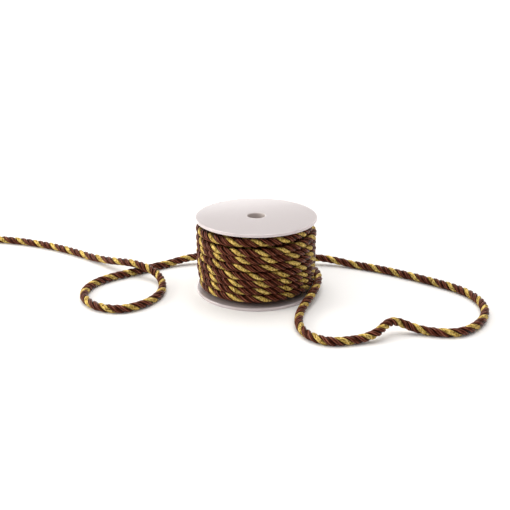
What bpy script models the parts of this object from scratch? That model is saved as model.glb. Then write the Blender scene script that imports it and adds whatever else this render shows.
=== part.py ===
"""Twisted metallic cord wound on a flanged plastic spool, with one loose end lying in loops beside it.

Units are metres, +Z is up. The origin is the centre of the spool's lower flange, on the surface it stands on.
The cord has three plies, two brown and one gold. It climbs anticlockwise, seen from above, up the spool.
"""

import math

import bmesh
import bpy
import numpy as np

MM = 0.001

# Spool
SPOOL_HEIGHT = 38.4 * MM
FLANGE_RADIUS = 30.0 * MM
FLANGE_THICKNESS = 1.5 * MM
FLANGE_EDGE = 0.35 * MM
HUB_RADIUS = 9.0 * MM
BORE_RADIUS = 4.3 * MM
BORE_CHAMFER = 0.7 * MM
SPOOL_STEPS = 64

# Cord
CORD_RADIUS = 2.0 * MM
SEAT_GAP = 0.3 * MM
SURFACE_GAP = 0.02 * MM
LOOSE_TWIST = 10.6 * MM  # length of one full twist of the loose end
PLIES = 3
GOLD_PLY = 0

# Winding, whose outer layer is one helix of whole turns
TURNS = 8
TURN_RADIUS = 27.4 * MM  # of the outer layer's centreline
LAST_TURN_INSET = 0.8 * MM
LAST_TURN_EASE = 1.6  # turns over which the inset fades out
TOP_TURN_INSET = 3.3 * MM  # where the first turn comes up from the layer beneath
TOP_DIVE_FROM = 7.5  # turn at which that starts
LAST_TURN_ANGLE = math.radians(80)

# Height of the centreline in millimetres, so many turns up from where the cord leaves. The turns lie closer together
# at the front than at the back, and the first one passes over the cord that leaves.
TURN_HEIGHTS = (
    (0.00, 4.4),
    (0.54, 5.7),
    (0.82, 6.4),
    (0.95, 8.5),
    (1.54, 9.7),
    (1.95, 11.9),
    (2.54, 13.4),
    (2.95, 15.5),
    (3.54, 17.2),
    (3.95, 19.4),
    (4.54, 21.3),
    (4.95, 23.2),
    (5.54, 25.3),
    (5.95, 27.1),
    (6.54, 28.9),
    (6.95, 31.1),
    (7.54, 33.8),
    (7.70, 34.5),
    (8.00, 34.6),
)
FILL_RADIUS = 24.0 * MM  # of the layers beneath
WEDGE_RADIUS = 22.6 * MM  # down to which the groove is open where two turns part
WEDGE_GAP = 0.7 * MM  # space between two turns at which it is open all the way
WINDING_COLUMNS = 60
GOLD_SPACING = math.radians(24.9)  # between gold patches along one turn
GOLD_SHARE = 0.34
GOLD_SLANT = 0.28  # of the spacing, from one row of a turn to the next

# Four rows to a turn: height above its centreline and radius beyond it, in cord radii
TURN_PROFILE = (
    {"height": -0.99, "radius": 0.18},
    {"height": -0.62, "radius": 0.78},
    {"height": 0.00, "radius": 1.00},
    {"height": 0.62, "radius": 0.78},
)
ROWS = len(TURN_PROFILE)

# Loose end's cross-section, one ply's share of it: angle in degrees and radius in cord radii
PLY_PROFILE = (
    {"angle": -24, "radius": 0.98},
    {"angle": 24, "radius": 0.98},
    {"angle": 60, "radius": 0.64},
)
STEPS_PER_TWIST = 7
FINE_STEPS = 20  # per point of the route, to measure its length

# Centreline of the loose end, millimetres. It goes from the last turn up over its neighbour, off the winding, round
# the right loop, behind the spool, round the left loop and over itself, and out to the cut end.
ON_SURFACE = (CORD_RADIUS + SURFACE_GAP) / MM
LOOSE_ROUTE = [
    (5.3, 25.9, 4.25),
    (11.6, 26.1, 4.4),
    (18.8, 24.5, 4.5),
    (23.9, 20.2, 4.9),
    (28.0, 14.3, 5.5),
    (31.1, 4.0, 5.9),
    (30.3, -8.0, 5.4),
    (26.0, -21.5, 4.3),
    (21.6, -32.0, 2.7),
    (19.3, -44.5, ON_SURFACE),
    (21.8, -57.2, ON_SURFACE),
    (30.5, -65.0, ON_SURFACE),
    (44.5, -63.4, 2.1),
    (53.2, -60.0, 4.0),
    (60.6, -53.6, 5.9),
    (67.8, -53.3, 3.7),
    (77.0, -55.6, ON_SURFACE),
    (88.5, -56.6, ON_SURFACE),
    (101.0, -47.0, ON_SURFACE),
    (107.6, -31.3, ON_SURFACE),
    (105.7, -14.9, ON_SURFACE),
    (89.8, 3.1, ON_SURFACE),
    (52.0, 27.3, ON_SURFACE),
    (35.5, 32.1, 3.8),
    (0.0, 31.3, 3.5),
    (-35.0, 33.4, 3.8),
    (-47.6, 28.4, ON_SURFACE),
    (-65.2, 15.8, ON_SURFACE),
    (-80.4, 3.2, ON_SURFACE),
    (-85.0, -10.5, ON_SURFACE),
    (-77.0, -27.0, ON_SURFACE),
    (-64.0, -31.0, ON_SURFACE),
    (-53.0, -24.0, ON_SURFACE),
    (-47.0, -5.5, ON_SURFACE),
    (-52.5, 9.5, 4.6),
    (-63.0, 16.5, 6.4),
    (-77.0, 27.0, 4.2),
    (-92.5, 40.0, ON_SURFACE),
    (-127.0, 61.2, ON_SURFACE),
    (-172.0, 72.0, ON_SURFACE),
]


def clear_scene():
    for item in list(bpy.data.objects):
        bpy.data.objects.remove(item, do_unlink=True)


def make_material(name, color, roughness, metallic=0.0, transmission=0.0):
    material = bpy.data.materials.new(name)
    material.use_nodes = True
    shader = material.node_tree.nodes["Principled BSDF"]
    shader.inputs["Base Color"].default_value = (*color, 1.0)
    shader.inputs["Roughness"].default_value = roughness
    shader.inputs["Metallic"].default_value = metallic
    shader.inputs["Transmission Weight"].default_value = transmission
    material.diffuse_color = (*color, 1.0)
    return material


def mesh_object(name, points, faces, materials, face_slots=None):
    mesh = bpy.data.meshes.new(name)
    mesh.from_pydata([tuple(point) for point in points], [], faces)
    for material in materials:
        mesh.materials.append(material)
    if face_slots is not None:
        mesh.polygons.foreach_set("material_index", face_slots)
    mesh.update()
    item = bpy.data.objects.new(name, mesh)
    bpy.context.scene.collection.objects.link(item)
    return item


def smooth_step(value):
    value = min(max(value, 0.0), 1.0)
    return value * value * (3.0 - 2.0 * value)


def spool_outline():
    """Half section of the spool as (radius, height), down its outer side and back up its bore."""
    upper = SPOOL_HEIGHT - FLANGE_THICKNESS
    inset = FLANGE_RADIUS - FLANGE_EDGE
    return [
        (BORE_RADIUS + BORE_CHAMFER, SPOOL_HEIGHT),
        (inset, SPOOL_HEIGHT),
        (FLANGE_RADIUS, SPOOL_HEIGHT - FLANGE_EDGE),
        (FLANGE_RADIUS, upper + FLANGE_EDGE),
        (inset, upper),
        (HUB_RADIUS, upper),
        (HUB_RADIUS, FLANGE_THICKNESS),
        (inset, FLANGE_THICKNESS),
        (FLANGE_RADIUS, FLANGE_THICKNESS - FLANGE_EDGE),
        (FLANGE_RADIUS, FLANGE_EDGE),
        (inset, 0.0),
        (BORE_RADIUS + BORE_CHAMFER, 0.0),
        (BORE_RADIUS, BORE_CHAMFER),
        (BORE_RADIUS, SPOOL_HEIGHT - BORE_CHAMFER),
    ]


def make_spool(material):
    mesh = bpy.data.meshes.new("spool")
    outline = bmesh.new()
    corners = [outline.verts.new((radius, 0.0, height)) for radius, height in spool_outline()]
    for corner, following in zip(corners, corners[1:] + corners[:1]):
        outline.edges.new((corner, following))
    outline.to_mesh(mesh)
    outline.free()
    mesh.materials.append(material)
    spool = bpy.data.objects.new("spool", mesh)
    bpy.context.scene.collection.objects.link(spool)
    turned = spool.modifiers.new("Turned", "SCREW")
    turned.axis = "Z"
    turned.steps = SPOOL_STEPS
    turned.render_steps = SPOOL_STEPS
    turned.use_merge_vertices = True
    turned.merge_threshold = 0.01 * MM
    turned.use_smooth_shade = False
    return spool


def turn_centre(turn):
    """Radius and height of the outer layer's centreline, so many turns up from where the cord leaves."""
    height = np.interp(turn, *zip(*TURN_HEIGHTS)) * MM
    radius = TURN_RADIUS - LAST_TURN_INSET * smooth_step(LAST_TURN_EASE - turn)
    radius -= TOP_TURN_INSET * smooth_step((turn - TOP_DIVE_FROM) / (TURNS - TOP_DIVE_FROM))
    return radius, height


def winding_row(column, row):
    """Radius and height of one point of the ridged outer face."""
    lap = column / WINDING_COLUMNS
    shape = TURN_PROFILE[row % ROWS]
    turn = min(row // ROWS, TURNS - 1)
    radius, height = turn_centre(lap + turn)
    offset = shape["height"] * CORD_RADIUS
    if row == TURNS * ROWS:
        offset = -offset
    elif row % ROWS == 0 and turn > 0:
        below_radius, below_height = turn_centre(lap + turn - 1)
        parted = smooth_step((height - below_height - 2.0 * CORD_RADIUS) / WEDGE_GAP)
        radius = 0.5 * (radius + below_radius)
        radius += (WEDGE_RADIUS - radius) * parted
        height = 0.5 * (height + below_height)
        offset = 0.0
    return radius + shape["radius"] * CORD_RADIUS, height + offset


def make_winding(materials):
    """One ring of all the layers. Its ridged face is a helical sheet, whose rows shift by one turn at its seam."""
    columns = WINDING_COLUMNS
    top_row = TURNS * ROWS
    floor = FLANGE_THICKNESS + SEAT_GAP
    ceiling = SPOOL_HEIGHT - FLANGE_THICKNESS - SEAT_GAP
    bore = HUB_RADIUS + SEAT_GAP
    points = []

    def add(column, radius, height):
        angle = LAST_TURN_ANGLE + 2.0 * math.pi * column / columns
        points.append((radius * math.cos(angle), radius * math.sin(angle), height))
        return len(points) - 1

    def ring(radius, height):
        return [add(column, radius, height) for column in range(columns)]

    sheet = [[add(column, *winding_row(column, row)) for row in range(top_row + 1)] for column in range(columns)]
    inner_floor, outer_floor = ring(bore, floor), ring(FILL_RADIUS, floor)
    neck = [add(column, FILL_RADIUS, winding_row(column, 0)[1]) for column in range(columns)]
    neck_step = add(0, FILL_RADIUS, winding_row(0, ROWS)[1])
    outer_ceiling, inner_ceiling = ring(FILL_RADIUS, ceiling), ring(bore, ceiling)

    faces = []
    gold = []

    def face(corners, is_gold=False):
        faces.append(corners)
        gold.append(1 if is_gold else 0)

    def band(first, second):
        for column in range(columns):
            after = (column + 1) % columns
            face((first[column], first[after], second[after], second[column]))

    def sheet_after(column, row):
        """The sheet's point one column on, or None past the last turn's end."""
        if column + 1 < columns:
            return sheet[column + 1][row]
        return sheet[0][row + ROWS] if row + ROWS <= top_row else None

    for column in range(columns):
        for row in range(top_row):
            lower, upper = sheet_after(column, row), sheet_after(column, row + 1)
            if lower is None or upper is None:
                continue
            sweep = 2.0 * math.pi * (column / columns + row // ROWS) / GOLD_SPACING
            is_gold = (sweep + GOLD_SLANT * (row % ROWS)) % 1.0 < GOLD_SHARE
            face((sheet[column][row], lower, upper, sheet[column][row + 1]), is_gold)

    lower_edge = [sheet[column][0] for column in range(columns)]
    upper_edge = [sheet[column][top_row] for column in range(columns)]
    for column in range(columns - 1):
        face((outer_floor[column], outer_floor[column + 1], neck[column + 1], neck[column]))
        face((neck[column], neck[column + 1], lower_edge[column + 1], lower_edge[column]))
        face((upper_edge[column], upper_edge[column + 1], outer_ceiling[column + 1], outer_ceiling[column]))
    face((outer_floor[-1], outer_floor[0], neck[0], neck_step, neck[-1]))
    face((neck[-1], neck_step, sheet[0][ROWS], lower_edge[-1]))
    face((neck[0], *sheet[0][: ROWS + 1], neck_step))
    face((sheet[-1][top_row - ROWS], upper_edge[0], outer_ceiling[0], outer_ceiling[-1]))
    for row in range(ROWS):
        face((sheet[-1][top_row - row], sheet[-1][top_row - row - 1], outer_ceiling[-1]))

    band(inner_floor, outer_floor)
    band(outer_ceiling, inner_ceiling)
    band(inner_ceiling, inner_floor)
    return mesh_object("winding", points, faces, materials, gold)


def smooth_route(route, count):
    """Points evenly along a natural cubic spline through the route, none lower than the surface allows."""
    knots = np.array(route) * MM
    along = np.concatenate([[0.0], np.cumsum(np.linalg.norm(np.diff(knots, axis=0), axis=1))])
    spans = np.diff(along)
    system = np.eye(len(knots))
    bend = np.zeros_like(knots)
    slopes = np.diff(knots, axis=0) / spans[:, None]
    for index in range(1, len(knots) - 1):
        before, after = spans[index - 1], spans[index]
        system[index, index - 1 : index + 2] = before, 2.0 * (before + after), after
        bend[index] = 6.0 * (slopes[index] - slopes[index - 1])
    curve = np.linalg.solve(system, bend)

    def at(distance):
        span = np.clip(np.searchsorted(along, distance, side="right") - 1, 0, len(spans) - 1)
        width = spans[span][:, None]
        left = (along[span + 1] - distance)[:, None]
        right = (distance - along[span])[:, None]
        cubic = (curve[span] * left**3 + curve[span + 1] * right**3) / (6.0 * width)
        line = (knots[span] / width - curve[span] * width / 6.0) * left
        line += (knots[span + 1] / width - curve[span + 1] * width / 6.0) * right
        return cubic + line

    fine = at(np.linspace(0.0, along[-1], FINE_STEPS * len(knots)))
    fine[:, 2] = np.maximum(fine[:, 2], CORD_RADIUS + SURFACE_GAP)
    length = np.concatenate([[0.0], np.cumsum(np.linalg.norm(np.diff(fine, axis=0), axis=1))])
    even = np.linspace(0.0, length[-1], count)
    return np.stack([np.interp(even, length, fine[:, axis]) for axis in range(3)], axis=1), length[-1]


def carried_frames(path):
    """A side direction and its partner at each point, carried along the path without turning about it."""
    tangents = np.gradient(path, axis=0)
    tangents /= np.linalg.norm(tangents, axis=1)[:, None]
    side = np.cross(tangents[0], (0.0, 0.0, 1.0))
    sides = []
    for tangent in tangents:
        side = side - tangent * side.dot(tangent)
        side /= np.linalg.norm(side)
        sides.append(side)
    sides = np.array(sides)
    return sides, np.cross(tangents, sides)


def make_loose_cord(materials):
    """The three-lobed section swept along the route, turning right-handed once in each twist length."""
    _, length = smooth_route(LOOSE_ROUTE, 2)
    steps = round(length / LOOSE_TWIST * STEPS_PER_TWIST)
    path, length = smooth_route(LOOSE_ROUTE, steps + 1)
    sides, partners = carried_frames(path)
    turned = 2.0 * math.pi * np.linspace(0.0, length, steps + 1) / LOOSE_TWIST

    points = []
    for centre, side, partner, twist in zip(path, sides, partners, turned):
        for ply in range(PLIES):
            for corner in PLY_PROFILE:
                angle = twist + 2.0 * math.pi * ply / PLIES + math.radians(corner["angle"])
                reach = corner["radius"] * CORD_RADIUS
                points.append(centre + reach * (math.cos(angle) * side + math.sin(angle) * partner))

    corners = PLIES * len(PLY_PROFILE)
    faces = [tuple(reversed(range(corners)))]
    slots = [0]
    for step in range(steps):
        for corner in range(corners):
            after = (corner + 1) % corners
            low, high = step * corners, (step + 1) * corners
            faces.append((low + corner, low + after, high + after, high + corner))
            ply = (corner + 1) % corners // len(PLY_PROFILE)
            slots.append(1 if ply == GOLD_PLY else 0)
    faces.append(tuple(range(steps * corners, (steps + 1) * corners)))
    slots.append(0)
    return mesh_object("loose_cord", points, faces, materials, slots)


def main():
    clear_scene()
    plastic = make_material("spool_plastic", (0.80, 0.77, 0.77), 0.35, transmission=0.15)
    brown = make_material("brown_viscose", (0.13, 0.045, 0.035), 0.45)
    gold = make_material("gold_lurex", (0.62, 0.43, 0.11), 0.35, metallic=0.7)
    make_spool(plastic)
    make_winding([brown, gold])
    make_loose_cord([brown, gold])


main()
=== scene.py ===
"""A twisted metallic cord on its plastic spool: two silky brown plies and one glittering gold ply.

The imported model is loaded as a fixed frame. The wound cord, its loose end and the spool are built round it
here as finished pieces, in metres, with procedural materials. +Z is up and the camera looks along +Y.
"""

import math

import bpy
import numpy as np
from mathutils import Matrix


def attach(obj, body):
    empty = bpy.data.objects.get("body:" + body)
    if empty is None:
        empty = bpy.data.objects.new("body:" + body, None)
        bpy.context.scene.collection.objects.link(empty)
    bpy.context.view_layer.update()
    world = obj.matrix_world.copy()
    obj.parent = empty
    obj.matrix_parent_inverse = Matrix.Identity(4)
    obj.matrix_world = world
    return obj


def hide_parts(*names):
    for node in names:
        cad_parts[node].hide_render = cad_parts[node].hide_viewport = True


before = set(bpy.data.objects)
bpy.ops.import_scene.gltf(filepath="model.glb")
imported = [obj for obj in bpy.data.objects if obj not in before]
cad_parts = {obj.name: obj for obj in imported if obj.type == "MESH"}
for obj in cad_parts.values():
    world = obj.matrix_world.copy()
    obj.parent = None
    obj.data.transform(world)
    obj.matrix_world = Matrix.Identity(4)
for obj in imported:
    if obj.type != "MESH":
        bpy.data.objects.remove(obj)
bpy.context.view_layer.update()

MM = 0.001

# Camera
CAMERA_PLACE = (-0.00062, -0.3844, 0.1602)
CAMERA_TILT = math.radians(69.64)
CAMERA_LENS = 57.8

# Spool
SPOOL_HEIGHT = 38.4 * MM
FLANGE_RADIUS = 30.0 * MM
FLANGE_THICKNESS = 1.5 * MM
FLANGE_ROUND = 0.42 * MM
HUB_RADIUS = 9.0 * MM
HUB_FILLET = 0.8 * MM
BORE_RADIUS = 4.3 * MM
BORE_ROUND = 0.7 * MM
RIM_LEVEL = 0.9  # where a flange's rim lies on the colour ramp that runs out from the axis, which paints shade over the face and light at the rim
FLAT_FROM = 0.25 * MM  # from a rounded edge to where the flange's face shades flat
SPOOL_STEPS = 180

# Cord, and one ply's section in its own third of it
CORD_RADIUS = 2.0 * MM
SURFACE_GAP = 0.02 * MM
LOWEST = 0.01 * MM  # a cord that lies on the surface is pressed flat against it
GOLD_PLY = 0
PLY_SLOTS = (1, 0, 0)  # material of each ply in a piece that has brown first and gold second
PLY_TURNS = (0.0, 1.0 / 3.0, -1.0 / 3.0)  # where each ply lies round the cord, in turns
PLY_HALF_ANGLE = math.radians(60)
PLY_CENTRE = 1.0 * MM
PLY_DEPTH = 1.08 * MM
PLY_WIDTH = 1.31 * MM
PLY_SIZES = (0.94, 1.0, 1.0)  # the gold ply is a little slimmer
PLY_GAP = 0.015 * MM
OUTER_ARC = math.radians(118)
OUTER_POINTS = 24
INNER_POINTS = 4
STEPS_PER_TWIST = 19
YARNS = 5  # finer yarns that show round a brown ply
YARN_DEPTHS = (0.03, 0.17, 0.17)
YARN_DRIFT = 120.0  # radians a metre that they turn round their ply
YARN_SWAY, YARN_SWAY_WAVE = 0.25, 160.0  # radians either way, and radians a metre
SWELLS = ((0.014, 410.0, 1.0), (0.010, 953.0, 2.3))  # uneven size: share of it, radians a metre, shift
PLY_SHIFT = 1.7  # radians between one ply's unevenness and the next one's
YARN_SHADE = 0.6  # painted shade: how dark the colour is made in the hollow between two yarns, against the crease between two plies
CREASE_FROM = 0.55  # share of a ply's half angle at which the painted shade of that crease starts

# Fibres at the cut end
FRAY_FIBRES = 16
FRAY_LENGTH = 2.6 * MM
FRAY_SHORTEST = 0.35  # share of that length
FRAY_STATIONS = (0.0, 0.35, 0.7, 1.0)
FRAY_WIDTHS = (0.075 * MM, 0.07 * MM, 0.06 * MM, 0.02 * MM)
FRAY_SIDES = 3
FRAY_ROOT = 0.3 * MM  # how deep in the cord a fibre starts
FRAY_REACH = 0.85  # share of the ply's depth that the roots fill
FRAY_LEAN = (0.5, 0.25, 0.12)  # away from the ply's middle, away from the cord's middle, and by chance
FRAY_CURL = 0.18
FRAY_LOWEST = 0.05 * MM
FRAY_PLACES = ((0.1, 0.0), (0.12, 0.0), (0.12, 3.0), (0.1, 3.0))  # a face's corners in the pattern

# Wound cord: turns counted up from START_ANGLE, with height in mm, and distance from the axis in mm
START_ANGLE = 80.0  # degrees about the axis
EXIT_ANGLE = 78.4  # degrees at which the loose end leaves
TOP_TURN = 9.0
TURN_STEPS = 290
TURN_HEIGHTS = (
    (-0.01, 4.25), (0.20, 4.4), (0.42, 5.2), (0.54, 5.6), (0.82, 6.2), (0.93, 8.2), (1.00, 8.6),
    (1.40, 9.2), (1.54, 9.6), (1.66, 9.9), (1.95, 11.9), (2.40, 13.1), (2.54, 13.3), (2.66, 13.6),
    (2.95, 15.5), (3.40, 16.8), (3.54, 17.1), (3.66, 17.5), (3.95, 19.4), (4.40, 20.9), (4.54, 21.3),
    (4.66, 21.6), (4.95, 23.2), (5.42, 24.9), (5.56, 25.3), (5.66, 25.6), (5.95, 27.1), (6.42, 28.3),
    (6.54, 28.8), (6.66, 29.6), (6.95, 31.1), (7.40, 32.9), (7.54, 33.8), (7.62, 34.5), (8.00, 34.75),
    (9.00, 34.75),
)
TURN_RADII = (
    (-0.01, 26.45), (0.40, 26.7), (0.78, 27.5), (0.90, 27.3), (0.97, 26.9), (1.60, 27.5), (2.00, 27.7),
    (3.00, 27.75), (4.20, 27.85), (5.50, 27.75), (6.60, 27.9), (7.30, 27.8), (7.62, 27.6), (8.00, 24.3),
    (8.40, 23.4), (9.00, 23.2),
)
TURN_SMOOTHING = 0.09

# Places along the winding, in turns, with the number of twists that the gold ply has made by there
WINDING_TWISTS = (
    (-0.0044, -5.659), (0.3799, -0.104), (0.4609, 0.929), (0.541, 1.935), (0.6174, 2.923),
    (0.6876, 3.886), (1.4002, 13.91), (1.4679, 14.932), (1.5423, 15.936), (1.6073, 16.928),
    (1.6759, 17.897), (2.397, 27.911), (2.4666, 28.933), (2.5396, 29.938), (2.6039, 30.93),
    (2.6693, 31.904), (3.3867, 41.906), (3.4564, 42.933), (3.5248, 43.939), (3.5945, 44.934),
    (3.6649, 45.909), (4.4135, 56.922), (4.4847, 57.939), (4.5589, 58.94), (4.6303, 59.927),
    (4.7092, 60.87), (5.4163, 70.925), (5.4884, 71.94), (5.5568, 72.942), (5.6298, 73.929),
    (5.6991, 74.885), (6.4076, 84.923), (6.478, 85.941), (6.5412, 86.943), (6.6006, 87.937),
    (6.6584, 88.919), (7.3952, 99.919), (7.4663, 100.941), (7.5358, 101.946), (7.5977, 102.941),
    (7.6641, 103.918), (7.7319, 104.84), (9.0, 123.4),
)
TWIST_SMOOTHING = 0.04

# The same along the loose end, in mm from the exit
LOOSE_TWISTS = (
    (0.0, -0.841), (43.5, 2.73), (56.3, 3.67), (64.8, 4.66), (73.8, 5.66), (83.8, 6.68),
    (96.8, 7.79), (110.5, 8.89), (121.3, 9.89), (132.8, 10.88), (141.8, 11.86), (150.0, 12.93),
    (160.5, 13.94), (174.0, 14.94), (187.0, 15.89), (198.8, 16.82), (210.0, 17.71), (218.8, 18.64),
    (229.5, 19.6), (239.8, 20.58), (250.1, 21.58), (261.1, 22.58), (272.1, 23.58), (283.6, 24.57),
    (294.3, 25.57), (307.1, 26.57), (386.3, 33.57), (397.3, 34.58), (410.3, 35.58), (421.3, 36.57),
    (431.8, 37.58), (443.3, 38.6), (453.3, 39.67), (466.8, 40.87), (480.4, 41.94), (492.1, 42.94),
    (503.1, 43.91), (516.6, 44.82), (525.6, 45.72), (533.1, 46.66), (541.1, 47.63), (550.1, 48.61),
    (562.4, 49.59), (577.1, 50.61), (591.9, 51.62), (603.4, 52.61), (614.9, 53.61), (626.1, 54.6),
    (637.9, 55.6), (650.4, 56.6), (673.2, 58.6),
)
LOOSE_SMOOTHING = 9.0 * MM

# Layer of cord beneath the outer one, which shows in the gaps, in mm, degrees and turns
INNER_RADIUS = 23.4
INNER_LOW_RADIUS = 22.6
INNER_FROM = 3.6
INNER_PITCH = 3.96
INNER_WIDENS_FROM = 6.0  # height at which it leaves its low radius
INNER_WIDENS_OVER = 5.0
INNER_START_ANGLE = 150.0
INNER_TURNS = 7.0
INNER_TWISTS_A_TURN = 13.0
INNER_STEPS_PER_TWIST = 10
INNER_LAYER_POINTS = (9, 2)  # round a ply, on the side that shows and on the side that doesn't

# Layers deeper down
CORE_RADIUS = 22.0 * MM
CORE_GAP = 0.05 * MM
CORE_STEPS = 96

# Centreline of the loose end, in mm, the same points as in the part's source
ON_SURFACE = (CORD_RADIUS + SURFACE_GAP) / MM
LOOSE_ROUTE = [
    (5.3, 25.9, 4.25),
    (11.6, 26.1, 4.4),
    (18.8, 24.5, 4.5),
    (23.9, 20.2, 4.9),
    (28.0, 14.3, 5.5),
    (31.1, 4.0, 5.9),
    (30.3, -8.0, 5.4),
    (26.0, -21.5, 4.3),
    (21.6, -32.0, 2.7),
    (19.3, -44.5, ON_SURFACE),
    (21.8, -57.2, ON_SURFACE),
    (30.5, -65.0, ON_SURFACE),
    (44.5, -63.4, 2.1),
    (53.2, -60.0, 4.0),
    (60.6, -53.6, 5.9),
    (67.8, -53.3, 3.7),
    (77.0, -55.6, ON_SURFACE),
    (88.5, -56.6, ON_SURFACE),
    (101.0, -47.0, ON_SURFACE),
    (107.6, -31.3, ON_SURFACE),
    (105.7, -14.9, ON_SURFACE),
    (89.8, 3.1, ON_SURFACE),
    (52.0, 27.3, ON_SURFACE),
    (35.5, 32.1, 3.8),
    (0.0, 31.3, 3.5),
    (-35.0, 33.4, 3.8),
    (-47.6, 28.4, ON_SURFACE),
    (-65.2, 15.8, ON_SURFACE),
    (-80.4, 3.2, ON_SURFACE),
    (-85.0, -10.5, ON_SURFACE),
    (-77.0, -27.0, ON_SURFACE),
    (-64.0, -31.0, ON_SURFACE),
    (-53.0, -24.0, ON_SURFACE),
    (-47.0, -5.5, ON_SURFACE),
    (-52.5, 9.5, 4.6),
    (-63.0, 16.5, 6.4),
    (-77.0, 27.0, 4.2),
    (-92.5, 40.0, ON_SURFACE),
    (-127.0, 61.2, ON_SURFACE),
    (-172.0, 72.0, ON_SURFACE),
]
FINE_STEPS = 20

# Surroundings
FLOOR_HALF_SIZE = 30.0
KEY_LIGHT = ("key", "SUN", (0.05, 0.32, 1.0), 1.35, (1.0, 0.985, 0.965))
KEY_SPREAD = math.radians(52)
SOFTBOXES = (
    ("left", (-0.75, -0.05, 0.32), 0.3, 0.3, 3.0, (1.0, 0.95, 0.87)),
    ("back", (-0.35, 1.25, 0.290), 1.8, 0.29, 2.9, (1.0, 0.99, 0.98)),
)
SKY_TILT = (-0.28, 0.20)  # how much brighter the sky gets to the left and to the back, against upward
SKY = [(0.0, (0.33, 0.31, 0.295)), (0.9, (1.04, 1.025, 1.01))]

chance = np.random.default_rng(7)


def add_camera():
    camera = bpy.data.objects.new("Camera", bpy.data.cameras.new("Camera"))
    camera.data.lens = CAMERA_LENS
    camera.data.clip_start = 0.01
    camera.data.clip_end = 20.0
    camera.location = CAMERA_PLACE
    camera.rotation_euler = (CAMERA_TILT, 0.0, 0.0)
    bpy.context.scene.collection.objects.link(camera)
    bpy.context.scene.camera = camera


# Materials


def new_material(name):
    material = bpy.data.materials.new(name)
    material.use_nodes = True
    nodes = material.node_tree.nodes
    return material, nodes, material.node_tree.links, nodes["Principled BSDF"]


def add_math(nodes, links, operation, first, second=None):
    node = nodes.new("ShaderNodeMath")
    node.operation = operation
    for socket, value in zip(node.inputs, (first, second)):
        if value is None:
            continue
        if isinstance(value, (int, float)):
            socket.default_value = value
        else:
            links.new(value, socket)
    return node.outputs["Value"]


def add_ramp(nodes, links, value, stops):
    ramp = nodes.new("ShaderNodeValToRGB")
    elements = ramp.color_ramp.elements
    while len(elements) < len(stops):
        elements.new(0.5)
    for element, (place, color) in zip(elements, stops):
        element.position = place
        element.color = (*color, 1.0)
    links.new(value, ramp.inputs["Fac"])
    return ramp.outputs["Color"]


def add_noise(nodes, links, vector, scale, detail):
    noise = nodes.new("ShaderNodeTexNoise")
    noise.inputs["Scale"].default_value = scale
    noise.inputs["Detail"].default_value = detail
    links.new(vector, noise.inputs["Vector"])
    return noise.outputs["Fac"]


def ply_place(nodes, links, round_scale, along_scale, drift=0.0):
    """A vector that runs round the ply and, from millimetres along the cord, along it."""
    place = nodes.new("ShaderNodeUVMap")
    place.uv_map = "ply"
    parts = nodes.new("ShaderNodeSeparateXYZ")
    links.new(place.outputs["UV"], parts.inputs["Vector"])
    turned = add_math(nodes, links, "MULTIPLY", parts.outputs["Y"], drift)
    around = add_math(nodes, links, "ADD", parts.outputs["X"], turned)
    joined = nodes.new("ShaderNodeCombineXYZ")
    links.new(add_math(nodes, links, "MULTIPLY", around, round_scale), joined.inputs["X"])
    links.new(add_math(nodes, links, "MULTIPLY", parts.outputs["Y"], along_scale), joined.inputs["Y"])
    return joined.outputs["Vector"]


def add_bump(nodes, links, height, strength, distance, normal=None):
    bump = nodes.new("ShaderNodeBump")
    bump.inputs["Strength"].default_value = strength
    bump.inputs["Distance"].default_value = distance
    links.new(height, bump.inputs["Height"])
    if normal is not None:
        links.new(normal, bump.inputs["Normal"])
    return bump.outputs["Normal"]


def brown_viscose():
    material, nodes, links, shader = new_material("brown_viscose")
    strands = add_noise(nodes, links, ply_place(nodes, links, 16.0, 0.22, 0.02), 1.0, 2.0)
    hairs = add_noise(nodes, links, ply_place(nodes, links, 60.0, 0.6, 0.03), 1.0, 3.0)
    # Painted shade, read from a point attribute: darker in the hollows between yarns and in the creases
    # between plies
    painted_shade = nodes.new("ShaderNodeAttribute")
    painted_shade.attribute_name = "painted_shade"
    mixed = add_math(nodes, links, "ADD", add_math(nodes, links, "MULTIPLY", strands, 0.6), hairs)
    level = add_math(nodes, links, "MULTIPLY", mixed, 0.625)
    painted_darkening = add_math(nodes, links, "MULTIPLY", painted_shade.outputs["Fac"], 0.40)
    # Colour from the fibre noise, less the painted shade. The pale pink top stop, reached on the yarn
    # crests, is partly the fibre's own tone and partly a painted sheen highlight
    color = add_ramp(
        nodes,
        links,
        add_math(nodes, links, "SUBTRACT", level, painted_darkening),
        [
            (0.12, (0.006, 0.0004, 0.0001)),
            (0.40, (0.054, 0.0075, 0.0018)),
            (0.61, (0.420, 0.1500, 0.0950)),
        ],
    )
    links.new(color, shader.inputs["Base Color"])
    rough = add_ramp(nodes, links, hairs, [(0.3, (0.42, 0.42, 0.42)), (0.7, (0.28, 0.28, 0.28))])
    links.new(rough, shader.inputs["Roughness"])
    shader.inputs["Specular IOR Level"].default_value = 0.25
    shader.inputs["Specular Tint"].default_value = (1.0, 0.50, 0.32, 1.0)
    rough_bump = add_bump(nodes, links, strands, 0.5, 0.12 * MM)
    links.new(add_bump(nodes, links, hairs, 0.6, 0.05 * MM, rough_bump), shader.inputs["Normal"])
    return material


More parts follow.
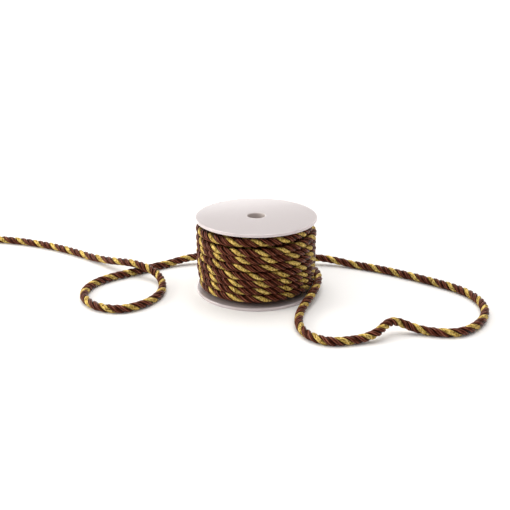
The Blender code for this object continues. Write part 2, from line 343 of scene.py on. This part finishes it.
def gold_lurex():
    material, nodes, links, shader = new_material("gold_lurex")
    flakes = nodes.new("ShaderNodeTexVoronoi")
    flakes.inputs["Scale"].default_value = 1.0
    links.new(ply_place(nodes, links, 14.0, 1.9, 0.02), flakes.inputs["Vector"])
    tone = nodes.new("ShaderNodeSeparateColor")
    links.new(flakes.outputs["Color"], tone.inputs["Color"])
    color = add_ramp(
        nodes,
        links,
        tone.outputs["Red"],
        [
            (0.00, (0.08, 0.035, 0.008)),
            (0.22, (0.35, 0.22, 0.045)),
            (0.58, (0.625, 0.445, 0.105)),
            (1.00, (0.76, 0.59, 0.22)),
        ],
    )
    links.new(color, shader.inputs["Base Color"])
    shader.inputs["Metallic"].default_value = 0.8
    finish = [(0.0, (0.64, 0.64, 0.64)), (1.0, (0.44, 0.44, 0.44))]
    rough = add_ramp(nodes, links, tone.outputs["Green"], finish)
    links.new(rough, shader.inputs["Roughness"])
    facets = add_bump(nodes, links, tone.outputs["Blue"], 0.7, 0.16 * MM)
    edges = add_math(nodes, links, "MULTIPLY", flakes.outputs["Distance"], -1.0)
    links.new(add_bump(nodes, links, edges, 0.6, 0.12 * MM, facets), shader.inputs["Normal"])
    return material


def moulded_plastic():
    material, nodes, links, shader = new_material("moulded_plastic")
    place = nodes.new("ShaderNodeTexCoord").outputs["Object"]
    parts = nodes.new("ShaderNodeSeparateXYZ")
    links.new(place, parts.inputs["Vector"])
    across = add_math(nodes, links, "POWER", parts.outputs["X"], 2.0)
    along = add_math(nodes, links, "POWER", parts.outputs["Y"], 2.0)
    radius = add_math(nodes, links, "SQRT", add_math(nodes, links, "ADD", across, along))
    share = add_math(nodes, links, "MULTIPLY", radius, RIM_LEVEL / FLANGE_RADIUS)
    cloudy = add_noise(nodes, links, place, 90.0, 3.0)
    level = add_math(nodes, links, "ADD", share, add_math(nodes, links, "MULTIPLY", cloudy, 0.04))
    # Painted light and shade on the translucent plastic: the face is darker where the hub and the winding
    # beneath keep light from coming through, and lighter at the rim, where light comes in through the edge.
    # It is lighter again round the bore
    color = add_ramp(
        nodes,
        links,
        level,
        [
            (0.149, (0.56, 0.50, 0.48)),
            (0.180, (0.405, 0.355, 0.36)),
            (0.900, (0.395, 0.345, 0.35)),
            (0.918, (0.64, 0.57, 0.58)),
        ],
    )
    links.new(color, shader.inputs["Base Color"])
    grain = add_noise(nodes, links, place, 2600.0, 2.0)
    rough = add_ramp(nodes, links, grain, [(0.3, (0.34, 0.34, 0.34)), (0.7, (0.44, 0.44, 0.44))])
    links.new(rough, shader.inputs["Roughness"])
    shader.inputs["Subsurface Weight"].default_value = 0.35
    shader.inputs["Subsurface Scale"].default_value = 1.5 * MM
    shader.inputs["Subsurface Radius"].default_value = (1.0, 0.95, 0.95)
    shader.inputs["Coat Weight"].default_value = 0.9
    shader.inputs["Coat Roughness"].default_value = 0.085
    links.new(add_bump(nodes, links, grain, 0.12, 0.05 * MM), shader.inputs["Normal"])
    return material


def floor_paper():
    material, nodes, links, shader = new_material("floor_paper")
    place = nodes.new("ShaderNodeTexCoord").outputs["Object"]
    grain = add_noise(nodes, links, place, 900.0, 2.0)
    color = add_ramp(nodes, links, grain, [(0.3, (0.895, 0.89, 0.885)), (0.7, (0.905, 0.90, 0.895))])
    links.new(color, shader.inputs["Base Color"])
    shader.inputs["Roughness"].default_value = 0.8
    shader.inputs["Specular IOR Level"].default_value = 0.2
    return material


# Shapes


def eased(table, places, smoothing):
    """The table's value at each place, averaged over a window that rounds off its corners."""
    keys, values = np.array(table).T
    offsets = np.linspace(-1.0, 1.0, 9)
    weights = 1.0 - 0.8 * np.abs(offsets)
    samples = [np.interp(places + offset * smoothing, keys, values) for offset in offsets]
    return np.average(samples, axis=0, weights=weights)


def smooth_route(route, count):
    """Points evenly along a natural cubic spline through the route, none lower than the surface allows."""
    knots = np.array(route) * MM
    along = np.concatenate([[0.0], np.cumsum(np.linalg.norm(np.diff(knots, axis=0), axis=1))])
    spans = np.diff(along)
    system = np.eye(len(knots))
    bend = np.zeros_like(knots)
    slopes = np.diff(knots, axis=0) / spans[:, None]
    for index in range(1, len(knots) - 1):
        before, after = spans[index - 1], spans[index]
        system[index, index - 1 : index + 2] = before, 2.0 * (before + after), after
        bend[index] = 6.0 * (slopes[index] - slopes[index - 1])
    curve = np.linalg.solve(system, bend)

    def at(distance):
        span = np.clip(np.searchsorted(along, distance, side="right") - 1, 0, len(spans) - 1)
        width = spans[span][:, None]
        left = (along[span + 1] - distance)[:, None]
        right = (distance - along[span])[:, None]
        cubic = (curve[span] * left**3 + curve[span + 1] * right**3) / (6.0 * width)
        line = (knots[span] / width - curve[span] * width / 6.0) * left
        line += (knots[span + 1] / width - curve[span + 1] * width / 6.0) * right
        return cubic + line

    fine = at(np.linspace(0.0, along[-1], FINE_STEPS * len(knots)))
    fine[:, 2] = np.maximum(fine[:, 2], CORD_RADIUS + SURFACE_GAP)
    length = np.concatenate([[0.0], np.cumsum(np.linalg.norm(np.diff(fine, axis=0), axis=1))])
    even = np.linspace(0.0, length[-1], count)
    path = np.stack([np.interp(even, length, fine[:, axis]) for axis in range(3)], axis=1)
    return path, length[-1]


def path_tangents(path):
    """The direction of the path at each of its points."""
    tangents = np.gradient(path, axis=0)
    return tangents / np.linalg.norm(tangents, axis=1)[:, None]


def carried_frames(path):
    """A side direction and its partner at each point, carried along the path without turning about it."""
    tangents = path_tangents(path)
    side = np.cross(tangents[0], (0.0, 0.0, 1.0))
    sides = []
    for tangent in tangents:
        side = side - tangent * side.dot(tangent)
        side /= np.linalg.norm(side)
        sides.append(side)
    sides = np.array(sides)
    return sides, np.cross(tangents, sides)


def outward_frames(path):
    """The same for a winding, with the side direction away from the spool's axis."""
    tangents = path_tangents(path)
    sides = path * (1.0, 1.0, 0.0)
    sides /= np.linalg.norm(sides, axis=1)[:, None]
    sides -= tangents * (sides * tangents).sum(axis=1)[:, None]
    sides /= np.linalg.norm(sides, axis=1)[:, None]
    return sides, np.cross(tangents, sides)


class Shape:
    """Points, faces, places round and along the ply, painted shade and material slots of one piece as it is
    made.
    """

    def __init__(self):
        self.points = []
        self.faces = []
        self.places = []
        self.slots = []
        self.painted_shades = []
        self.count = 0

    def add(self, points, faces, places, slot, painted_shade=None):
        self.points.append(points)
        self.painted_shades.append(np.zeros(len(points)) if painted_shade is None else painted_shade)
        self.add_faces(faces, places, slot, self.count)
        self.count += len(points)

    def add_faces(self, faces, places, slot, first):
        """Faces whose corners are counted from the point with the number given as first."""
        self.faces.append(np.asarray(faces) + first)
        self.places.append(places)
        self.slots.append(np.full(len(faces), slot, dtype=np.int32))

    def build(self, name, materials):
        points = np.concatenate(self.points)
        corners = np.concatenate([faces.reshape(-1) for faces in self.faces])
        sizes = np.concatenate([np.full(len(faces), faces.shape[1]) for faces in self.faces])
        mesh = bpy.data.meshes.new(name)
        mesh.vertices.add(len(points))
        mesh.vertices.foreach_set("co", points.astype(np.float32).ravel())
        mesh.loops.add(len(corners))
        mesh.loops.foreach_set("vertex_index", corners.astype(np.int32))
        mesh.polygons.add(len(sizes))
        starts = np.concatenate([[0], np.cumsum(sizes)[:-1]])
        mesh.polygons.foreach_set("loop_start", starts.astype(np.int32))
        mesh.polygons.foreach_set("material_index", np.concatenate(self.slots))
        mesh.polygons.foreach_set("use_smooth", np.ones(len(sizes), dtype=bool))
        layer = mesh.uv_layers.new(name="ply")
        layer.uv.foreach_set("vector", np.concatenate(self.places).astype(np.float32).ravel())
        # The painted shade at each point, kept as an attribute for the brown material
        painted_shade = mesh.attributes.new("painted_shade", "FLOAT", "POINT")
        painted_shade.data.foreach_set("value", np.concatenate(self.painted_shades).astype(np.float32))
        mesh.update(calc_edges=True)
        mesh.validate()
        for material in materials:
            mesh.materials.append(material)
        item = bpy.data.objects.new(name, mesh)
        bpy.context.scene.collection.objects.link(item)
        return item


def ring_angles(outer_points, inner_points):
    """Angles round a ply, 0 being away from the cord's centre, with most of them on the side that shows."""
    outer = np.linspace(-OUTER_ARC, OUTER_ARC, outer_points)
    inner = np.linspace(OUTER_ARC, 2.0 * math.pi - OUTER_ARC, inner_points + 2)[1:-1]
    return np.concatenate([outer, inner])


def add_ply(shape, path, frames, turned, angles, ply, slot):
    """Sweeps one ply along the cord, kept to its own share of the section."""
    along = np.concatenate([[0.0], np.cumsum(np.linalg.norm(np.diff(path, axis=0), axis=1))])[:, None]
    round_ply = angles[None, :]
    seed = PLY_SHIFT * ply
    swell = 1.0 + sum(share * np.sin(along * wave + shift * seed) for share, wave, shift in SWELLS)
    sway = YARN_SWAY * np.sin(along * YARN_SWAY_WAVE + seed)
    ridges = 0.5 - 0.5 * np.cos(YARNS * (round_ply + sway) + YARN_DRIFT * along)
    reach = PLY_SIZES[ply] * swell * (1.0 - YARN_DEPTHS[ply] * ridges)
    outward = PLY_CENTRE + PLY_DEPTH * reach * np.cos(round_ply)
    across = PLY_WIDTH * reach * np.sin(round_ply)
    lean_out, lean_in = math.sin(PLY_HALF_ANGLE), math.cos(PLY_HALF_ANGLE)
    short = np.maximum(PLY_GAP - (outward * lean_out - np.abs(across) * lean_in), 0.0)
    outward = outward + short * lean_out
    across = across - np.sign(across) * short * lean_in
    # Painted shade: the brown material darkens its colour by this amount in the hollows between yarns and in
    # the crease toward each ply's flanks, where shade falls
    flank = np.arctan2(np.abs(across), outward) / PLY_HALF_ANGLE
    crease_shade = np.clip((flank - CREASE_FROM) / (1.0 - CREASE_FROM), 0.0, 1.0) ** 1.5
    painted_shade = np.clip(YARN_SHADE * ridges + crease_shade, 0.0, 1.0)
    sides, partners = frames
    turned = 2.0 * math.pi * (turned + PLY_TURNS[ply])
    cosine, sine = np.cos(turned)[:, None], np.sin(turned)[:, None]
    outward_way = cosine * sides + sine * partners
    across_way = cosine * partners - sine * sides
    points = path[:, None] + outward[..., None] * outward_way[:, None]
    points += across[..., None] * across_way[:, None]
    points[..., 2] = np.maximum(points[..., 2], LOWEST)

    rings, corners = points.shape[:2]
    ring, corner = np.meshgrid(np.arange(rings - 1), np.arange(corners), indexing="ij")
    after = (corner + 1) % corners
    low, high = ring * corners, (ring + 1) * corners
    faces = np.stack([low + corner, low + after, high + after, high + corner], axis=-1).reshape(-1, 4)
    share = np.append(angles, angles[0] + 2.0 * math.pi) / (2.0 * math.pi)
    distance = along[:, 0] / MM
    first, second = share[corner], share[corner + 1]
    near, far = distance[ring], distance[ring + 1]
    places = np.stack([first, near, second, near, second, far, first, far], axis=-1).reshape(-1, 2)
    start = shape.count
    shape.add(points.reshape(-1, 3), faces, places, slot, painted_shade.ravel())
    for end, order in ((0, -1), (rings - 1, 1)):
        cap = (end * corners + np.arange(corners))[::order][None, :]
        cap_places = np.stack([share[:corners][::order], np.full(corners, distance[end])], axis=-1)
        shape.add_faces(cap, cap_places, slot, start)


def add_cord(shape, path, frames, twists, plies, outer_points, inner_points, slots=(0, 0, 0)):
    angles = ring_angles(outer_points, inner_points)
    for ply in plies:
        add_ply(shape, path, frames, twists, angles, ply, slots[ply])


def add_fibre(shape, spine, side, partner, slot):
    """A thin tapering tube along the spine."""
    rings = []
    for centre, width in zip(spine, FRAY_WIDTHS):
        for corner in range(FRAY_SIDES):
            turn = 2.0 * math.pi * corner / FRAY_SIDES
            rings.append(centre + width * (math.cos(turn) * side + math.sin(turn) * partner))
    points = np.array(rings)
    points[:, 2] = np.maximum(points[:, 2], FRAY_LOWEST)
    faces = []
    for ring in range(len(spine) - 1):
        low, high = FRAY_SIDES * ring, FRAY_SIDES * (ring + 1)
        for corner in range(FRAY_SIDES):
            after = (corner + 1) % FRAY_SIDES
            faces.append((low + corner, low + after, high + after, high + corner))
    places = np.tile(FRAY_PLACES, (len(faces), 1))
    shape.add(points, faces, places + (chance.random(), 0.0), slot)


def add_frayed_end(shape, path, frames, twist, slots):
    """Short fibres that stand a little out of each ply at the cut end."""
    tangent = path_tangents(path[-4:])[-1]
    side, partner = frames[0][-1], frames[1][-1]
    lean_aside, lean_outward, lean_chance = FRAY_LEAN
    for ply, ply_turn in enumerate(PLY_TURNS):
        angle = 2.0 * math.pi * (twist + ply_turn)
        outward = math.cos(angle) * side + math.sin(angle) * partner
        across = math.cos(angle) * partner - math.sin(angle) * side
        for _ in range(FRAY_FIBRES):
            reach = PLY_DEPTH * FRAY_REACH * math.sqrt(chance.random())
            way = 2.0 * math.pi * chance.random()
            spread = reach * (math.cos(way) * outward + math.sin(way) * across)
            root = path[-1] + PLY_CENTRE * outward + spread - tangent * FRAY_ROOT
            length = FRAY_LENGTH * (FRAY_SHORTEST + (1.0 - FRAY_SHORTEST) * chance.random())
            lean = lean_aside * spread / PLY_DEPTH + lean_outward * outward
            lean = lean + lean_chance * chance.normal(size=3)
            curl = FRAY_CURL * chance.normal(size=3)
            spine = [root + length * (tangent * t + lean * t**2 + curl * t**3) for t in FRAY_STATIONS]
            add_fibre(shape, spine, side, partner, slots[ply])


def make_loose_cord(brown, gold):
    """The loose end, all three plies in one piece, swept along its centreline."""
    twists = LOOSE_TWISTS[-1][1] - LOOSE_TWISTS[0][1]
    path, length = smooth_route(LOOSE_ROUTE, round(twists * STEPS_PER_TWIST) + 1)
    frames = carried_frames(path)
    table = [(place * MM, turns) for place, turns in LOOSE_TWISTS]
    turns = eased(table, np.linspace(0.0, length, len(path)), LOOSE_SMOOTHING)
    shape = Shape()
    add_cord(shape, path, frames, turns, range(len(PLY_TURNS)), OUTER_POINTS, INNER_POINTS, PLY_SLOTS)
    add_frayed_end(shape, path, frames, turns[-1], PLY_SLOTS)
    cord = shape.build("loose_end", [brown, gold])
    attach(cord, "root")
    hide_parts("loose_cord")


def winding_path(turns):
    """Centreline of the outer layer at each number of turns up from the start angle."""
    heights = eased(TURN_HEIGHTS, turns, TURN_SMOOTHING) * MM
    radii = eased(TURN_RADII, turns, TURN_SMOOTHING) * MM
    angles = math.radians(START_ANGLE) + 2.0 * math.pi * turns
    return np.stack([radii * np.cos(angles), radii * np.sin(angles), heights], axis=1)


def make_winding(brown, gold):
    """The outer layer, its brown plies in two pieces, and what lies beneath it."""
    first = (EXIT_ANGLE - START_ANGLE) / 360.0
    turns = np.linspace(first, TOP_TURN, round((TOP_TURN - first) * TURN_STEPS) + 1)
    path = winding_path(turns)
    frames = outward_frames(path)
    twists = eased(WINDING_TWISTS, turns, TWIST_SMOOTHING)
    halfway = len(turns) // 2
    lower, upper = slice(0, halfway + 1), slice(halfway, len(turns))
    pieces = []
    for name, part in (("wound_brown_lower", lower), ("wound_brown_upper", upper)):
        shape = Shape()
        cut_frames = (frames[0][part], frames[1][part])
        add_cord(shape, path[part], cut_frames, twists[part], (1, 2), OUTER_POINTS, INNER_POINTS)
        pieces.append(shape.build(name, [brown]))
    shape = Shape()
    add_cord(shape, path, frames, twists, (GOLD_PLY,), OUTER_POINTS, INNER_POINTS)
    pieces.append(shape.build("wound_gold", [gold]))
    pieces.append(make_inner_layer(brown, gold))
    pieces.append(make_core(brown))
    for piece in pieces:
        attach(piece, "root")
        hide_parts("winding")


def make_inner_layer(brown, gold):
    """The layer beneath, wound the other way."""
    twists_in_all = INNER_TURNS * INNER_TWISTS_A_TURN
    turns = np.linspace(0.0, INNER_TURNS, round(twists_in_all * INNER_STEPS_PER_TWIST) + 1)
    heights = INNER_FROM + INNER_PITCH * turns
    widened = np.clip((heights - INNER_WIDENS_FROM) / INNER_WIDENS_OVER, 0.0, 1.0)
    radii = (INNER_LOW_RADIUS + (INNER_RADIUS - INNER_LOW_RADIUS) * widened) * MM
    angles = math.radians(INNER_START_ANGLE) - 2.0 * math.pi * turns
    path = np.stack([radii * np.cos(angles), radii * np.sin(angles), heights * MM], axis=1)
    shape = Shape()
    twists = INNER_TWISTS_A_TURN * turns
    frames = outward_frames(path)
    add_cord(shape, path, frames, twists, range(len(PLY_TURNS)), *INNER_LAYER_POINTS, PLY_SLOTS)
    return shape.build("wound_inner", [brown, gold])


def add_lathe(shape, outline, steps, slot):
    """Turns a closed outline of (radius, height) about the axis."""
    angles = 2.0 * math.pi * np.arange(steps) / steps
    radii = np.array([radius for radius, _ in outline])
    heights = np.array([height for _, height in outline])
    points = np.stack(
        [
            np.outer(np.cos(angles), radii),
            np.outer(np.sin(angles), radii),
            np.tile(heights, (steps, 1)),
        ],
        axis=-1,
    )
    corners = len(outline)
    ring, corner = np.meshgrid(np.arange(steps), np.arange(corners), indexing="ij")
    next_ring, after = (ring + 1) % steps, (corner + 1) % corners
    low, high = ring * corners, next_ring * corners
    faces = np.stack([low + corner, high + corner, high + after, low + after], axis=-1).reshape(-1, 4)
    first, second = ring / steps, (ring + 1) / steps
    near, far = corner * 1.0, corner + 1.0
    places = np.stack([first, near, second, near, second, far, first, far], axis=-1).reshape(-1, 2)
    shape.add(points.reshape(-1, 3), faces, places, slot)


def make_core(brown):
    """The layers deeper down, as one dark ring on the hub."""
    low = FLANGE_THICKNESS + CORE_GAP
    high = SPOOL_HEIGHT - FLANGE_THICKNESS - CORE_GAP
    inner = HUB_RADIUS + CORE_GAP
    outline = [(inner, low), (inner, high), (CORE_RADIUS, high), (CORE_RADIUS, low)]
    shape = Shape()
    add_lathe(shape, outline[::-1], CORE_STEPS, 0)
    return shape.build("wound_core", [brown])


def rounded(centre, radius, start, end, steps=5):
    """Points of an arc from one angle to another, in degrees."""
    points = []
    for step in range(steps + 1):
        angle = math.radians(start + (end - start) * step / steps)
        points.append((centre[0] + radius * math.cos(angle), centre[1] + radius * math.sin(angle)))
    return points


def spool_outline():
    """Half section of the spool, out over its lower flange, up and back down the bore."""
    upper = SPOOL_HEIGHT - FLANGE_THICKNESS
    rim = FLANGE_RADIUS - FLANGE_ROUND
    bore_edge = BORE_RADIUS + BORE_ROUND
    points = rounded((bore_edge, BORE_ROUND), BORE_ROUND, 180, 270)
    points += [(bore_edge + FLAT_FROM, 0.0), (rim - FLAT_FROM, 0.0)]
    points += rounded((rim, FLANGE_ROUND), FLANGE_ROUND, 270, 360)
    points += rounded((rim, FLANGE_THICKNESS - FLANGE_ROUND), FLANGE_ROUND, 0, 90)
    points += [(rim - FLAT_FROM, FLANGE_THICKNESS)]
    points += rounded((HUB_RADIUS + HUB_FILLET, FLANGE_THICKNESS + HUB_FILLET), HUB_FILLET, 270, 180)
    points += rounded((HUB_RADIUS + HUB_FILLET, upper - HUB_FILLET), HUB_FILLET, 180, 90)
    points += [(rim - FLAT_FROM, upper)]
    points += rounded((rim, upper + FLANGE_ROUND), FLANGE_ROUND, 270, 360)
    points += rounded((rim, SPOOL_HEIGHT - FLANGE_ROUND), FLANGE_ROUND, 0, 90)
    points += [(rim - FLAT_FROM, SPOOL_HEIGHT), (bore_edge + FLAT_FROM, SPOOL_HEIGHT)]
    points += rounded((bore_edge, SPOOL_HEIGHT - BORE_ROUND), BORE_ROUND, 90, 180)
    return points


def make_spool(plastic):
    shape = Shape()
    add_lathe(shape, spool_outline(), SPOOL_STEPS, 0)
    spool = shape.build("moulded_spool", [plastic])
    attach(spool, "root")
    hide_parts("spool")


def make_floor():
    size = FLOOR_HALF_SIZE
    corners = [(-size, -size, 0.0), (size, -size, 0.0), (size, size, 0.0), (-size, size, 0.0)]
    mesh = bpy.data.meshes.new("floor")
    mesh.from_pydata(corners, [], [(0, 1, 2, 3)])
    mesh.materials.append(floor_paper())
    floor = bpy.data.objects.new("floor", mesh)
    bpy.context.scene.collection.objects.link(floor)


def add_light(name, kind, place, power, color):
    """A light that faces the spool."""
    light = bpy.data.lights.new(name, kind)
    light.energy = power
    light.color = color
    item = bpy.data.objects.new(name, light)
    item.location = place
    away = math.hypot(place[0], place[1])
    rise = place[2] - 0.5 * SPOOL_HEIGHT
    item.rotation_euler = (math.atan2(away, rise), 0.0, math.atan2(place[0], -place[1]))
    bpy.context.scene.collection.objects.link(item)
    return light


def add_softbox(name, place, width, height, power, color):
    light = add_light(name, "AREA", place, power, color)
    light.shape = "RECTANGLE"
    light.size = width
    light.size_y = height


def light_scene():
    """A sky brightest overhead, to the left and behind, a broad light from above and two softboxes."""
    world = bpy.data.worlds.new("studio")
    world.use_nodes = True
    nodes, links = world.node_tree.nodes, world.node_tree.links
    background = nodes["Background"]
    way = nodes.new("ShaderNodeTexCoord").outputs["Generated"]
    parts = nodes.new("ShaderNodeSeparateXYZ")
    links.new(way, parts.inputs["Vector"])
    leftward = add_math(nodes, links, "MULTIPLY", parts.outputs["X"], SKY_TILT[0])
    backward = add_math(nodes, links, "MULTIPLY", parts.outputs["Y"], SKY_TILT[1])
    tilt = add_math(nodes, links, "ADD", leftward, backward)
    level = add_math(nodes, links, "ADD", parts.outputs["Z"], tilt)
    links.new(add_ramp(nodes, links, level, SKY), background.inputs["Color"])
    background.inputs["Strength"].default_value = 1.0
    bpy.context.scene.world = world
    key = add_light(*KEY_LIGHT)
    key.angle = KEY_SPREAD
    for softbox in SOFTBOXES:
        add_softbox(*softbox)
    bpy.context.scene.view_settings.view_transform = "Standard"


add_camera()
brown_material = brown_viscose()
gold_material = gold_lurex()
make_loose_cord(brown_material, gold_material)
make_winding(brown_material, gold_material)
make_spool(moulded_plastic())
make_floor()
light_scene()
